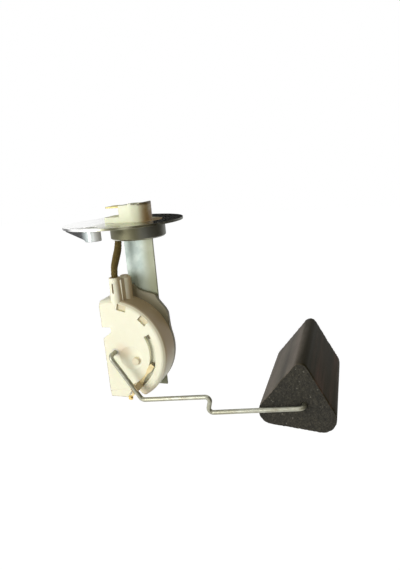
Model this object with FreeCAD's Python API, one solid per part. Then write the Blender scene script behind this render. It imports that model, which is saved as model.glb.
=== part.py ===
import FreeCAD, Part
import math
import os
from FreeCAD import Vector

# Fuel level sender: a pressed flange head, a strip bracket, a slotted sensor housing,
# a wiper carried by a bent wire arm, and a foam float that turns on the arm's end.
# Origin: centre of the flange on its seat face. +Z up, +X along the arm, +Y away from
# the slotted face. All sizes in millimetres.

# Flange head
flange_radius = 33.0
flange_thick = 1.2
cup_x = 8.2
cup_radius = 15.2
cup_wall = 1.2
cup_depth = 8.0
cup_bend = 1.4
pocket_x = -4.7
pocket_y = -25.4
pocket_radius = 3.9
pocket_depth = 5.7
pocket_reach = 15.6
pocket_wall = 0.9

# Plug connector
plug_left = 2.8
plug_right = 16.8
plug_front = -10.0
plug_back = 8.0
plug_top = 10.2
plug_corner = 8.0
shelf_left = -6.4
shelf_top = 4.3
shelf_back = 3.0
lip_height = 0.7
lip_width = 2.6
shelf_lap = 3.0
shelf_round = 1.0
ridge_start = 5.4
ridge_end = 7.6
ridge_long = 6.0
recess_side = 3.0
recess_front_wall = 9.0
recess_back_wall = 1.6
recess_depth = 3.5
lead_room_play = 0.6
spigot_radius = 12.4
spigot_room = 2.2
seal_depth = 2.2
fit_gap = 0.05

# Terminal blades
blade_width = 4.8
blade_thick = 0.8
blade_z = 8.9
blade_tip = -6.5
blade_run = 15.0
signal_blade_y = -5.4
ground_blade_y = 1.0
blade_bevel = 1.0
tail_half = 1.2

# Strip bracket
strip_x = 7.6
strip_width = 17.4
strip_thick = 1.0
strip_below_pivot = 26.0
strip_bend = 1.0
foot_length = 10.0
rivet_radius = 1.5
rivet_head_radius = 2.6
rivet_head = 0.9
rivet_spacing = 10.0
rivet_y = 6.4

# Sensor housing
pivot_x = -6.2
pivot_z = -70.3
housing_radius = 30.2
housing_left = -12.6
housing_below_pivot = 27.8
housing_depth = 16.3
base_thick = 2.4
cover_wall = 1.6
cover_front = 2.0
cover_round = 1.8
notch_rise = 14.6
notch_height = 2.7
notch_slope = 4.0
notch_reach = 5.3

# Ear on the base: beside the rear neck, then down its slope, measured from the housing's
# right edge and top
ear_left = 3.2
ear_sunk = 4.0
ear_rise = 5.6
ear_flat = 2.6
ear_shoulder = (4.4, 3.4)
ear_slope = ((-17.2, 2.0), (-8.8, -0.2), (-7.0, -3.6), (-3.4, -8.2), (-2.1, -10.8), (-1.6, -19.0),
             (-0.8, -24.0))

# Slot for the wiper and the mouth where it runs out at the bottom edge
slot_inset = 7.4
slot_width = 3.4
slot_top_deg = 27.5
slot_low_deg = -62.0
mouth_left = -1.8
mouth_right = 10.6
ledge_low = 2.9
ledge_rise = 3.6
ledge_depth = 0.4

# Snap windows
window_beside_neck = 3.2222
window_low_deg = 45.0
window_inset = 5.0
window_long = 5.4
hook_thick = 1.3
hook_barb = 1.2
hook_long = 3.8
hook_sunk = 1.1
window_play = 0.1

# Dish and staked post on the cover
dish_x = 3.3
dish_drop = 3.0
dish_radius = 6.9
dish_depth = 1.5
post_deg = -21.0689
post_gap = 2.326
post_radius = 1.4
post_foot = 1.2
post_head_radius = 2.1
post_head = 0.9

# Neck for the lead
neck_x = -2.9
neck_set = 3.5
neck_rise = 12.3
neck_radius_top = 2.9
neck_radius_low = 3.5
rear_neck_x = -0.2
rear_neck_set = 3.7
rear_neck_radius = 3.3
rear_neck_drop = 0.2
neck_slit_width = 0.8
neck_slit_drop = 2.8
neck_slit_length = 5.4

# Lead
lead_radius = 2.0
core_radius = 0.9
lead_inlet_x = -0.6
lead_inlet_y = -6.6
lead_first_z = -11.6
lead_lean_x = -2.4
lead_lean_y = -9.6
lead_above_neck = 3.2
lead_bends = (8.0, 12.0, 9.0)
lead_stop = 0.5
core_stop = 4.9
grommet_radius = 2.6
grommet_lip = 2.9

# Resistor card
card_inward = 4.8
card_outward = 2.2
card_thick = 1.0
card_gap = 0.8
card_notch_gap = 0.12819
card_low_gap = 1.88496
track_half = 1.1
track_thick = 0.15
pad_overlap_deg = 7.0
rib_thick = 1.4

# Arm, pivot and wiper
wire_radius = 1.25
bend_step = 45.0
arm_standoff = 6.4
bush_radius = 2.2
running_gap = 0.05
boss_wall = 1.8
arm_back = 1.6
arm_bends = (2.2, 3.0, 2.2, 2.2, 2.4)
contact_deg = -18.5
contact_span = 6.0
leaf_head = 2.7
leaf_waist = 1.1
leaf_blade = 2.2
leaf_tail = 1.5
leaf_thick = 0.4
leaf_gap = 0.3
grip_half = 1.7
grip_wall = 0.4
tip_x = 0.3
tip_drop = 27.3
tip_radius = 1.5
track_gap = 0.3
arm_corner_x = 10.4
arm_corner_drop = 24.7
jog_top_x = 50.2
jog_top_drop = 19.5
jog_low_x = 48.0
jog_low_drop = 28.9
float_hole_x = 97.7
float_hole_drop = 21.7
retainer_radius = 3.3
retainer_thick = 0.9

# Float
float_standoff = 2.9
float_length = 69.3
apex_from_hole = (-1.3, 25.3)
left_from_hole = (-29.9, -11.2)
right_from_hole = (21.9, -16.0)
apex_round = 4.0
left_round = 7.0
right_round = 7.7
clip_thick = 0.9
clip_radius = 4.2
arm_overrun = 2.4

# Places that follow from the sizes above
strip_bottom = pivot_z - strip_below_pivot
housing_bottom = pivot_z - housing_below_pivot
dish_z = pivot_z - dish_drop
tip_z = pivot_z - tip_drop
arm_corner_z = pivot_z - arm_corner_drop
jog_top_z = pivot_z - jog_top_drop
jog_low_z = pivot_z - jog_low_drop
float_hole_z = pivot_z - float_hole_drop
float_apex = (float_hole_x + apex_from_hole[0], float_hole_z + apex_from_hole[1])
float_left = (float_hole_x + left_from_hole[0], float_hole_z + left_from_hole[1])
float_right = (float_hole_x + right_from_hole[0], float_hole_z + right_from_hole[1])
back_y = -strip_thick / 2
face_y = back_y - housing_depth
cover_back = back_y - base_thick
housing_top = pivot_z + housing_radius
housing_right = pivot_x + housing_radius
neck_y = face_y + neck_set
neck_top = housing_top + neck_rise
rear_neck_y = cover_back - rear_neck_set
rear_neck_top = neck_top - rear_neck_drop
neck_slit_top = neck_top - neck_slit_drop
neck_slit_low = neck_slit_top - neck_slit_length
lead_low = housing_top + lead_stop
core_low = housing_top - core_stop
slot_radius = housing_radius - slot_inset
card_in = slot_radius - card_inward
card_out = slot_radius + card_outward
card_left = housing_left + notch_reach + cover_wall + card_notch_gap
card_top_deg = math.degrees(math.acos((card_left - pivot_x) / card_in))
card_low_deg = slot_low_deg + math.degrees(card_low_gap / card_in)
post_reach = card_in - post_gap - post_radius - post_foot
post_x = pivot_x + post_reach * math.cos(math.radians(post_deg))
post_z = pivot_z + post_reach * math.sin(math.radians(post_deg))
track_in = slot_radius - track_half
track_out = slot_radius + track_half
window_in = housing_radius - window_inset
window_top_deg = math.degrees(math.acos((neck_x + window_beside_neck - pivot_x) / window_in))
window_degs = (window_top_deg, window_low_deg)
wall_y = face_y + cover_front
card_y = wall_y + card_gap
wire_y = face_y - arm_standoff
cup_inner = cup_radius - cup_wall
spigot_depth = cup_depth - cup_wall - spigot_room
foot_z = -cup_depth - strip_thick
slot_in = slot_radius - slot_width / 2
slot_out = slot_radius + slot_width / 2
float_front = wire_y + float_standoff
float_back = float_front + float_length
clip_y = float_back + 0.4
arm_end_y = clip_y + clip_thick + arm_overrun
leaf_back = face_y - leaf_gap
leaf_front = leaf_back - leaf_thick
grip_y = wire_y - 0.6
wiper_deg = math.degrees(math.atan2(arm_corner_z - pivot_z, arm_corner_x - pivot_x))


def save(shape, node):
    """Write one piece and report its volume."""
    shape.exportStep("parts/" + node + ".step")
    print(node, "solids", len(shape.Solids), "volume", round(shape.Volume, 1), "valid", shape.isValid())


def box(x0, x1, y0, y1, z0, z1):
    """Block between two corners."""
    return Part.makeBox(x1 - x0, y1 - y0, z1 - z0, Vector(x0, y0, z0))


def prism(points, y0, y1):
    """Polygon of (x, z) points, extruded along Y."""
    ring = [Vector(x, y0, z) for x, z in points]
    face = Part.Face(Part.makePolygon(ring + ring[:1]))
    return face.extrude(Vector(0, y1 - y0, 0))


def round_bar(x, z, radius, y0, y1):
    """Cylinder along Y."""
    return Part.makeCylinder(radius, y1 - y0, Vector(x, y0, z), Vector(0, 1, 0))


def post(x, y, radius, z0, z1):
    """Cylinder along Z."""
    return Part.makeCylinder(radius, z1 - z0, Vector(x, y, z0))


def polar(radius, degrees):
    """Point (x, z) at a radius and angle about the pivot."""
    angle = math.radians(degrees)
    return pivot_x + radius * math.cos(angle), pivot_z + radius * math.sin(angle)


def sector(inner, outer, low_deg, high_deg, y0, y1):
    """Arc-shaped bar about the pivot, between two radii and two angles."""
    mid_deg = (low_deg + high_deg) / 2
    corner = [Vector(x, y0, z) for x, z in (
        polar(inner, low_deg), polar(inner, mid_deg), polar(inner, high_deg),
        polar(outer, high_deg), polar(outer, mid_deg), polar(outer, low_deg))]
    edges = [Part.Arc(corner[0], corner[1], corner[2]).toShape(),
             Part.makeLine(corner[2], corner[3]),
             Part.Arc(corner[3], corner[4], corner[5]).toShape(),
             Part.makeLine(corner[5], corner[0])]
    return Part.Face(Part.Wire(edges)).extrude(Vector(0, y1 - y0, 0))


def radial_block(inner, outer, degrees, length, y0, y1):
    """Straight-sided block centred on an angle about the pivot."""
    block = box(inner, outer, y0, y1, -length / 2, length / 2)
    block.rotate(Vector(0, 0, 0), Vector(0, -1, 0), degrees)
    block.translate(Vector(pivot_x, 0, pivot_z))
    return block


def bent_bar(points, bends, radius):
    """Round bar along straight runs; each bend is a few short mitred lengths on its arc."""
    path = [points[0]]
    for index, bend in enumerate(bends, start=1):
        corner = points[index]
        back = (points[index - 1] - corner).normalize()
        ahead = (points[index + 1] - corner).normalize()
        half = back.getAngle(ahead) / 2
        turn = math.pi - 2 * half
        steps = max(1, round(math.degrees(turn) / bend_step))
        start = corner + back * (bend / math.tan(half))
        centre = corner + (back + ahead).normalize() * (bend / math.sin(half))
        spoke = (start - centre).normalize()
        reach = bend / math.cos(turn / steps / 2)
        for step in range(steps):
            angle = turn * (step + 0.5) / steps
            path.append(centre + (spoke * math.cos(angle) - back * math.sin(angle)) * reach)
    path.append(points[-1])
    ring = Part.Wire(Part.makeCircle(radius, path[0], path[1] - path[0]))
    return Part.makePolygon(path).makePipeShell([ring], True, True, 1)


def edges_along_y(shape, wanted):
    """Straight edges along Y whose (x, z) lies near one of the wanted points."""
    found = []
    for edge in shape.Edges:
        middle = edge.CenterOfMass
        span = edge.BoundBox
        straight = span.XLength < 0.01 and span.ZLength < 0.01
        if straight and any(math.hypot(middle.x - x, middle.z - z) < 0.05 for x, z in wanted):
            found.append(edge)
    return found


# Mounting flange: one pressing with a drawn cup and a ramped locating pocket
def pocket_form(wall):
    """Ramped pocket: a tear-drop in plan, deepening from the rim to a round end."""
    radius = pocket_radius - wall
    depth = pocket_depth - wall
    tip_x_here = pocket_x - pocket_reach + 3 * wall
    plan = post(pocket_x, pocket_y, radius, -depth, flange_thick)
    wedge = [Vector(tip_x_here, pocket_y - 0.5, -depth), Vector(pocket_x, pocket_y - radius, -depth),
             Vector(pocket_x, pocket_y + radius, -depth), Vector(tip_x_here, pocket_y + 0.5, -depth)]
    blade = Part.Face(Part.makePolygon(wedge + wedge[:1])).extrude(Vector(0, 0, depth + flange_thick))
    ramp = prism([(tip_x_here - 1, flange_thick), (tip_x_here - 1, -0.05), (pocket_x - radius, -0.8 * depth),
                  (pocket_x - 0.7 * radius, -depth), (pocket_x + radius + 1, -depth),
                  (pocket_x + radius + 1, flange_thick)], pocket_y - 10, pocket_y + 10)
    return plan.fuse(blade).common(ramp)


def mounting_flange():
    disc = post(0, 0, flange_radius, 0, flange_thick)
    cup = post(cup_x, 0, cup_radius, -cup_depth, 0)
    low_rim = [edge for edge in cup.Edges if edge.BoundBox.ZMax < -cup_depth + 0.01]
    cup = cup.makeChamfer(cup_bend / 2, low_rim)
    well = post(cup_x, 0, cup_inner, -cup_depth + cup_wall, flange_thick)
    outer = pocket_form(0).common(post(0, 0, flange_radius, -cup_depth, flange_thick))
    body = disc.fuse([cup, outer]).cut(well).cut(pocket_form(pocket_wall))
    body = body.cut(post(lead_inlet_x, lead_inlet_y, grommet_radius, -cup_depth, -cup_depth + cup_wall))
    for side in (-1, 1):
        hole_x = strip_x + side * rivet_spacing / 2
        body = body.cut(post(hole_x, rivet_y, rivet_radius, -cup_depth, -cup_depth + cup_wall))
    return body.removeSplitter()


# Terminal blades: flat tongues that turn down inside the plug
def blade(centre_y, tail_low):
    y0 = centre_y - blade_width / 2
    y1 = centre_y + blade_width / 2
    tongue_end = blade_tip + blade_run
    tongue = box(blade_tip, tongue_end, y0, y1, blade_z, blade_z + blade_thick)
    nose = [edge for edge in tongue.Edges
            if edge.BoundBox.XMax < blade_tip + 0.01 and edge.BoundBox.ZLength > blade_thick / 2]
    tongue = tongue.makeChamfer(blade_bevel, nose)
    tail = box(tongue_end - blade_thick, tongue_end, centre_y - tail_half, centre_y + tail_half,
               tail_low, blade_z)
    return tongue.fuse(tail).removeSplitter()


# Plug connector: a rounded tower over a round plug in the cup, with a keying shelf
def connector_body(blades):
    tower = box(plug_left, plug_right, plug_front, plug_back, flange_thick, plug_top)
    lip = box(plug_right - lip_width, plug_right, plug_front, plug_back, plug_top, plug_top + lip_height)
    tower = tower.fuse(lip).removeSplitter()
    right = [edge for edge in tower.Edges
             if edge.BoundBox.XMin > plug_right - 0.01 and edge.BoundBox.ZLength > plug_top / 2]
    tower = tower.makeFillet(plug_corner, right)
    shelf = box(shelf_left, plug_left + shelf_lap, plug_front, shelf_back, flange_thick, shelf_top)
    left = [edge for edge in shelf.Edges
            if edge.BoundBox.XMax < shelf_left + 0.01 and edge.BoundBox.ZLength > 1]
    shelf = shelf.makeFillet(shelf_round, left)
    ridge = box(plug_left + ridge_start, plug_left + ridge_end, plug_front, plug_front + ridge_long,
                plug_top, plug_top + lip_height)
    collar = post(cup_x, 0, cup_inner - fit_gap, -seal_depth, flange_thick)
    spigot = post(cup_x, 0, spigot_radius, -spigot_depth, -seal_depth)
    body = tower.fuse([shelf, ridge, collar, spigot])
    recess = box(plug_left + recess_side, plug_right - lip_width - recess_side, plug_front + recess_front_wall,
                 plug_back - recess_back_wall, plug_top - recess_depth, plug_top + 1)
    body = body.cut(recess)
    for piece in blades:
        body = body.cut(piece)
    lead_room = post(lead_inlet_x, lead_inlet_y, lead_radius + lead_room_play, -spigot_depth, -seal_depth)
    body = body.cut(lead_room)
    return body.removeSplitter()


def connector_seal():
    ring = post(cup_x, 0, cup_inner, -spigot_depth + 0.3, -seal_depth)
    return ring.cut(post(cup_x, 0, spigot_radius, -spigot_depth, 0)).cut(
        post(lead_inlet_x, lead_inlet_y, lead_radius + lead_room_play, -spigot_depth, -seal_depth))


# Strip bracket: a flat strip whose foot is bent back and riveted under the cup
def bracket_strip():
    half = strip_thick / 2
    bend_y = half + strip_bend
    bend_z = foot_z - strip_bend
    outer = strip_bend + strip_thick
    c45 = math.cos(math.radians(45))
    foot_end = half + foot_length
    points = [Vector(0, -half, strip_bottom), Vector(0, half, strip_bottom), Vector(0, half, bend_z),
              Vector(0, bend_y, foot_z), Vector(0, foot_end, foot_z), Vector(0, foot_end, foot_z + strip_thick),
              Vector(0, bend_y, foot_z + strip_thick), Vector(0, -half, bend_z)]
    inner_mid = Vector(0, bend_y - strip_bend * c45, bend_z + strip_bend * c45)
    outer_mid = Vector(0, bend_y - outer * c45, bend_z + outer * c45)
    edges = [Part.makeLine(points[0], points[1]), Part.makeLine(points[1], points[2]),
             Part.Arc(points[2], inner_mid, points[3]).toShape(),
             Part.makeLine(points[3], points[4]), Part.makeLine(points[4], points[5]),
             Part.makeLine(points[5], points[6]),
             Part.Arc(points[6], outer_mid, points[7]).toShape(),
             Part.makeLine(points[7], points[0])]
    strip = Part.Face(Part.Wire(edges)).extrude(Vector(strip_width, 0, 0))
    strip.translate(Vector(strip_x - strip_width / 2, 0, 0))
    for x, z in stake_places():
        strip = strip.cut(round_bar(x, z, post_radius, -half, half))
    for side in (-1, 1):
        hole_x = strip_x + side * rivet_spacing / 2
        strip = strip.cut(post(hole_x, rivet_y, rivet_radius, foot_z, foot_z + strip_thick))
    return strip


def bracket_rivets():
    """Two rivets through the strip's foot and the cup's floor."""
    pieces = []
    floor = -cup_depth + cup_wall
    for side in (-1, 1):
        x = strip_x + side * rivet_spacing / 2
        shank = post(x, rivet_y, rivet_radius, foot_z - rivet_head, floor + rivet_head)
        low = post(x, rivet_y, rivet_head_radius, foot_z - rivet_head, foot_z)
        high = post(x, rivet_y, rivet_head_radius, floor, floor + rivet_head)
        pieces.append(shank.fuse([low, high]).removeSplitter())
    return Part.makeCompound(pieces)


# Outline shared by the two halves of the housing
def outline(inset, y0, y1):
    """Round plate about the pivot, cut flat at the left and at the bottom."""
    disc = round_bar(pivot_x, pivot_z, housing_radius - inset, y0, y1)
    reach = 2 * housing_radius
    window = box(housing_left + inset, pivot_x + reach, y0, y1, housing_bottom + inset, pivot_z + reach)
    return disc.common(window)


def mouth(grow, y0, y1):
    """Opening between the slot's low end and the bottom edge."""
    left_top = polar(slot_in, slot_low_deg)
    right_top = polar(slot_out, slot_low_deg)
    low = housing_bottom - 5
    points = [(left_top[0] - grow, left_top[1] + grow), (right_top[0] + grow, right_top[1] + grow),
              (mouth_right + grow, housing_bottom), (mouth_right + grow, low),
              (mouth_left - grow, low), (mouth_left - grow, housing_bottom)]
    return prism(points, y0, y1)


def side_notch(grow, y0, y1):
    """Notch in the left edge, with a sloping lower side."""
    reach = housing_left + notch_reach + grow
    top = pivot_z + notch_rise + grow
    inner = pivot_z + notch_rise - notch_height - grow / 2
    low = pivot_z + notch_rise - notch_height - notch_slope - grow
    points = [(housing_left - 3, top), (reach, top), (reach, inner), (housing_left, low),
              (housing_left - 3, low)]
    return prism(points, y0, y1)


def stake_places():
    """Posts that fasten the housing to the strip, on the strip's centre line."""
    return [(strip_x, pivot_z + 0.62 * housing_radius), (strip_x, pivot_z - 0.5 * housing_radius)]


# Housing base: back plate with an ear, ribs for the card, snap hooks and moulded posts
def housing_base():
    top = housing_top
    plate = outline(0, cover_back, back_y)
    beside_neck = [(rear_neck_x - ear_left, top - ear_sunk), (rear_neck_x - ear_left, top + ear_rise),
                   (rear_neck_x + ear_flat, top + ear_rise),
                   (rear_neck_x + ear_shoulder[0], top + ear_shoulder[1])]
    slope = [(housing_right + inward, top + up) for inward, up in ear_slope]
    ear = prism(beside_neck + slope, cover_back, back_y)
    plate = plate.fuse(ear).removeSplitter()
    plate = plate.cut(mouth(0, cover_back, back_y)).cut(side_notch(0, cover_back, back_y))
    pieces = []
    card_back = card_y + card_thick
    for inner in (card_in + 0.6, card_out - rib_thick - 0.2):
        pieces.append(sector(inner, inner + rib_thick, card_low_deg + 4, card_top_deg - 6,
                             card_back, cover_back))
    pieces.append(round_bar(pivot_x, pivot_z, bush_radius + boss_wall, wall_y, cover_back))
    pieces.append(round_bar(post_x, post_z, post_radius + post_foot, wall_y, cover_back))
    pieces.append(round_bar(post_x, post_z, post_radius, face_y, cover_back))
    dome = Part.makeSphere(post_head_radius * 1.25, Vector(post_x, face_y + 0.7, post_z))
    head = dome.common(round_bar(post_x, post_z, post_head_radius, face_y - post_head, face_y + dish_depth))
    pieces.append(head)
    for degrees in window_degs:
        middle = window_in + 0.3
        arm = radial_block(middle, middle + hook_thick, degrees, hook_long, wall_y, cover_back)
        barb = radial_block(middle, middle + hook_thick + hook_barb, degrees, hook_long,
                            face_y + hook_sunk, wall_y + 2.4)
        cap = radial_block(window_in + window_play, housing_radius - cover_wall - window_play, degrees,
                           window_long - 2 * window_play, face_y + hook_sunk, wall_y + 0.1)
        pieces.append(arm.fuse([barb, cap]))
    for x, z in stake_places():
        pieces.append(round_bar(x, z, post_radius, cover_back, strip_thick / 2 + post_head))
        pieces.append(round_bar(x, z, post_head_radius, strip_thick / 2, strip_thick / 2 + post_head))
    body = plate.fuse(pieces).removeSplitter()
    bore = round_bar(pivot_x, pivot_z, bush_radius, wall_y - 1, back_y + 1)
    return body.cut(bore)


# Housing cover: moulded shell with the arc slot, snap windows, dish and lead neck
def housing_cover(base):
    shell = outline(0, face_y, cover_back)
    shell = shell.cut(mouth(0, face_y, cover_back)).cut(side_notch(0, face_y, cover_back))
    front_arc = [edge for edge in shell.Edges
                 if edge.BoundBox.YMax < face_y + 0.01 and edge.BoundBox.XMax > pivot_x + housing_radius - 1
                 and edge.BoundBox.XLength > 3]
    shell = shell.makeChamfer(cover_round, front_arc)
    soft = [edge for edge in shell.Edges
            if edge.BoundBox.YLength < 0.01 and edge.BoundBox.YMax < face_y + cover_round + 0.01
            and edge.BoundBox.XMax > pivot_x + housing_radius - 3 and edge.BoundBox.XLength > 3]
    shell = shell.makeChamfer(0.55, soft)
    low = housing_top - 2.5
    front_neck = Part.makeCone(neck_radius_low, neck_radius_top, neck_top - low, Vector(neck_x, neck_y, low))
    rear_neck = post(rear_neck_x, rear_neck_y, rear_neck_radius, low, rear_neck_top)
    crown = [edge for edge in rear_neck.Edges if edge.BoundBox.ZMin > rear_neck_top - 0.01]
    rear_neck = rear_neck.makeChamfer(1.2, crown)
    web = box(neck_x - 1.2, rear_neck_x + 1.2, neck_y, rear_neck_y, low, rear_neck_top - 1.2)
    heel = box(rear_neck_x - 2.4, rear_neck_x + 2.2, rear_neck_y, cover_back, low, rear_neck_top - 1.8)
    shell = shell.fuse([front_neck, rear_neck, web, heel])
    cavity = outline(cover_wall, wall_y, cover_back)
    cavity = cavity.cut(mouth(cover_wall, wall_y, cover_back)).cut(side_notch(cover_wall, wall_y, cover_back))
    for degrees in window_degs:
        cavity = cavity.cut(radial_block(window_in + hook_thick + 0.7, housing_radius, degrees, window_long,
                                         wall_y + 2.7, wall_y + 4.6))
    shell = shell.cut(cavity)
    for degrees in window_degs:
        shell = shell.cut(radial_block(window_in, housing_radius - cover_wall, degrees, window_long,
                                       face_y - 1, wall_y + 0.1))
    shell = shell.cut(sector(slot_in, slot_out, slot_low_deg - 3, slot_top_deg, face_y - 1, wall_y + 1))
    bulge = (dish_radius ** 2 + dish_depth ** 2) / (2 * dish_depth)
    shell = shell.cut(Part.makeSphere(bulge, Vector(dish_x, face_y + dish_depth - bulge, dish_z)))
    foot = housing_bottom + ledge_low
    shell = shell.cut(prism([(housing_left - 1, foot), (mouth_left + 3, foot + ledge_rise),
                             (mouth_left + 3, housing_bottom - 1), (housing_left - 1, housing_bottom - 1)],
                            face_y - 1, face_y + ledge_depth))
    shell = shell.cut(post(neck_x, neck_y, lead_radius, low - 3, neck_top + 1))
    shell = shell.cut(box(neck_x - neck_slit_width / 2, neck_x + neck_slit_width / 2, neck_y - 6, neck_y,
                          neck_slit_low, neck_slit_top))
    shell = shell.cut(round_bar(pivot_x, pivot_z, bush_radius, face_y - 1, cover_back))
    return shell.cut(base)


# Pivot bush: plain sleeve through both halves of the housing
def pivot_bush():
    sleeve = round_bar(pivot_x, pivot_z, bush_radius, face_y, back_y)
    return sleeve.cut(round_bar(pivot_x, pivot_z, wire_radius + running_gap, face_y - 1, back_y + 1))


# Resistor card with its printed track and end contacts
def resistor_card():
    return sector(card_in, card_out, card_low_deg, card_top_deg, card_y, card_y + card_thick)


def resistor_track():
    return sector(track_in, track_out, card_low_deg + 3, slot_top_deg - pad_overlap_deg,
                  card_y - track_thick, card_y)


def track_pads():
    """Silvered pads at both ends of the track."""
    low = sector(track_in, track_out, card_low_deg + 0.5, card_low_deg + 3, card_y - track_thick, card_y)
    high = sector(track_in, track_out, slot_top_deg - pad_overlap_deg, card_top_deg - 14,
                  card_y - track_thick, card_y)
    return Part.makeCompound([low, high])


def lead_terminal():
    """Crimped barrel on the lead's core with a tab on the card."""
    barrel = post(neck_x, neck_y, core_radius + 0.3, core_low, core_low + 3.6)
    tab = box(neck_x - 1.0, neck_x + 1.0, card_y - 0.5, card_y, core_low - 4.5, core_low + 0.6)
    stem = box(neck_x - 0.8, neck_x + 0.8, card_y - 0.5, neck_y, core_low - 0.2, core_low + 0.6)
    body = barrel.fuse([tab, stem]).cut(post(neck_x, neck_y, core_radius, core_low, core_low + 4))
    return body.cut(resistor_card()).removeSplitter()


# Lead: sleeved wire from the cup's grommet down into the neck
def signal_lead():
    above_neck = neck_top + lead_above_neck
    route = [Vector(lead_inlet_x, lead_inlet_y, -seal_depth - 0.2),
             Vector(lead_inlet_x, lead_inlet_y, lead_first_z),
             Vector(lead_lean_x, lead_lean_y, (above_neck + lead_first_z) / 2),
             Vector(neck_x, neck_y, above_neck),
             Vector(neck_x, neck_y, lead_low)]
    return bent_bar(route, lead_bends, lead_radius)


def lead_core():
    return post(neck_x, neck_y, core_radius, core_low, lead_low)


def lead_grommet():
    floor = -cup_depth + cup_wall
    body = post(lead_inlet_x, lead_inlet_y, grommet_radius, -cup_depth, floor)
    lip = post(lead_inlet_x, lead_inlet_y, grommet_lip, floor, floor + 1.0)
    return body.fuse(lip).cut(post(lead_inlet_x, lead_inlet_y, lead_radius, -cup_depth, 0)).removeSplitter()


# Float arm: one bent wire from the pivot to the far side of the float
def float_arm():
    route = [Vector(pivot_x, arm_back, pivot_z), Vector(pivot_x, wire_y, pivot_z),
             Vector(arm_corner_x, wire_y, arm_corner_z), Vector(jog_top_x, wire_y, jog_top_z),
             Vector(jog_low_x, wire_y, jog_low_z), Vector(float_hole_x, wire_y, float_hole_z),
             Vector(float_hole_x, arm_end_y, float_hole_z)]
    return bent_bar(route, arm_bends, wire_radius)


def push_ring(x, z, radius, thick, y):
    """Push-on ring that grips the wire, with three relief cuts."""
    ring = round_bar(x, z, radius, y, y + thick)
    ring = ring.cut(round_bar(x, z, wire_radius, y - 1, y + thick + 1))
    for step in range(3):
        cut = box(x + wire_radius - 0.3, x + 0.7 * radius, y - 1, y + thick + 1, z - 0.35, z + 0.35)
        cut.rotate(Vector(x, 0, z), Vector(0, 1, 0), 120 * step)
        ring = ring.cut(cut)
    return ring


def arm_retainer():
    return push_ring(pivot_x, pivot_z, retainer_radius, retainer_thick, back_y + 0.3)


def float_clip():
    return push_ring(float_hole_x, float_hole_z, clip_radius, clip_thick, clip_y)


# Wiper: a brass leaf held by a moulded carrier on the wire, with two contacts
def leaf_form():
    """Leaf from the contact to its rounded tail: broad head, narrow waist, broad blade."""
    head = Vector(polar(slot_radius, contact_deg)[0], 0, polar(slot_radius, contact_deg)[1])
    tail = Vector(tip_x, 0, tip_z)
    along = (tail - head).normalize()
    across = Vector(along.z, 0, -along.x)
    length = (tail - head).Length
    widths = [(-0.04, leaf_head), (0.12, leaf_head), (0.22, leaf_waist), (0.36, leaf_waist), (0.46, leaf_blade),
              (0.78, leaf_blade), (0.9, leaf_tail), (1.0, leaf_tail)]
    near = [head + along * (share * length) + across * (width / 2) for share, width in widths]
    far = [head + along * (share * length) - across * (width / 2) for share, width in reversed(widths)]
    strip = prism([(point.x, point.z) for point in near + far], leaf_front, leaf_back)
    tail_end = round_bar(tip_x, tip_z, leaf_tail / 2 + 0.35, leaf_front, leaf_back)
    return strip.fuse(tail_end)


def stake_block(y0, y1):
    """Square stake through the leaf, in line with the wire."""
    return radial_block(slot_radius - 0.8, slot_radius + 0.8, wiper_deg, 1.6, y0, y1)


def wiper_leaf():
    leaf = leaf_form().cut(stake_block(leaf_front - 1, leaf_back + 1))
    return leaf.cut(round_bar(tip_x, tip_z, 0.5, leaf_front, leaf_back)).removeSplitter()


def wiper_carrier():
    grip = radial_block(slot_radius - grip_half, slot_radius + grip_half, wiper_deg,
                        2 * (wire_radius + grip_wall), grip_y, leaf_front)
    channel = radial_block(slot_radius - 4, slot_radius + 4, wiper_deg, 2 * wire_radius, grip_y - 1, wire_y)
    start = Vector(polar(slot_radius - 4, wiper_deg)[0], wire_y, polar(slot_radius - 4, wiper_deg)[1])
    end = Vector(polar(slot_radius + 4, wiper_deg)[0], wire_y, polar(slot_radius + 4, wiper_deg)[1])
    seat = Part.makeCylinder(wire_radius, 8.0, start, end - start)
    lug = sector(slot_in + 0.3, slot_out - 0.3, wiper_deg - 4.5, wiper_deg + 4.5, leaf_back, wall_y - 0.2)
    return grip.cut(channel).cut(seat).fuse([stake_block(leaf_front, leaf_back), lug]).removeSplitter()


def wiper_contact():
    """Contact block that reaches through the slot towards the track."""
    rear = card_y - track_thick - track_gap
    return sector(track_in, track_out, contact_deg - contact_span / 2, contact_deg + contact_span / 2,
                  leaf_back, rear)


def tip_contact():
    """Domed rivet at the leaf's tail."""
    front = Vector(0, -1, 0)
    head = Part.makeCone(tip_radius, 0.55 * tip_radius, 1.1, Vector(tip_x, leaf_front, tip_z), front)
    return head.fuse(round_bar(tip_x, tip_z, 0.5, leaf_front, leaf_back)).removeSplitter()


# Float: foam block of rounded triangular section, bored for the wire
def float_block():
    block = prism([float_apex, float_left, float_right], float_front, float_back)
    block = block.makeFillet(apex_round, edges_along_y(block, [float_apex]))
    block = block.makeFillet(left_round, edges_along_y(block, [float_left]))
    block = block.makeFillet(right_round, edges_along_y(block, [float_right]))
    bore = round_bar(float_hole_x, float_hole_z, wire_radius + running_gap, float_front - 1, float_back + 1)
    return block.cut(bore)


os.makedirs("parts", exist_ok=True)

signal_blade = blade(signal_blade_y, -spigot_depth - 0.8)
ground_blade = blade(ground_blade_y, -cup_depth + cup_wall)
base = housing_base()

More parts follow.
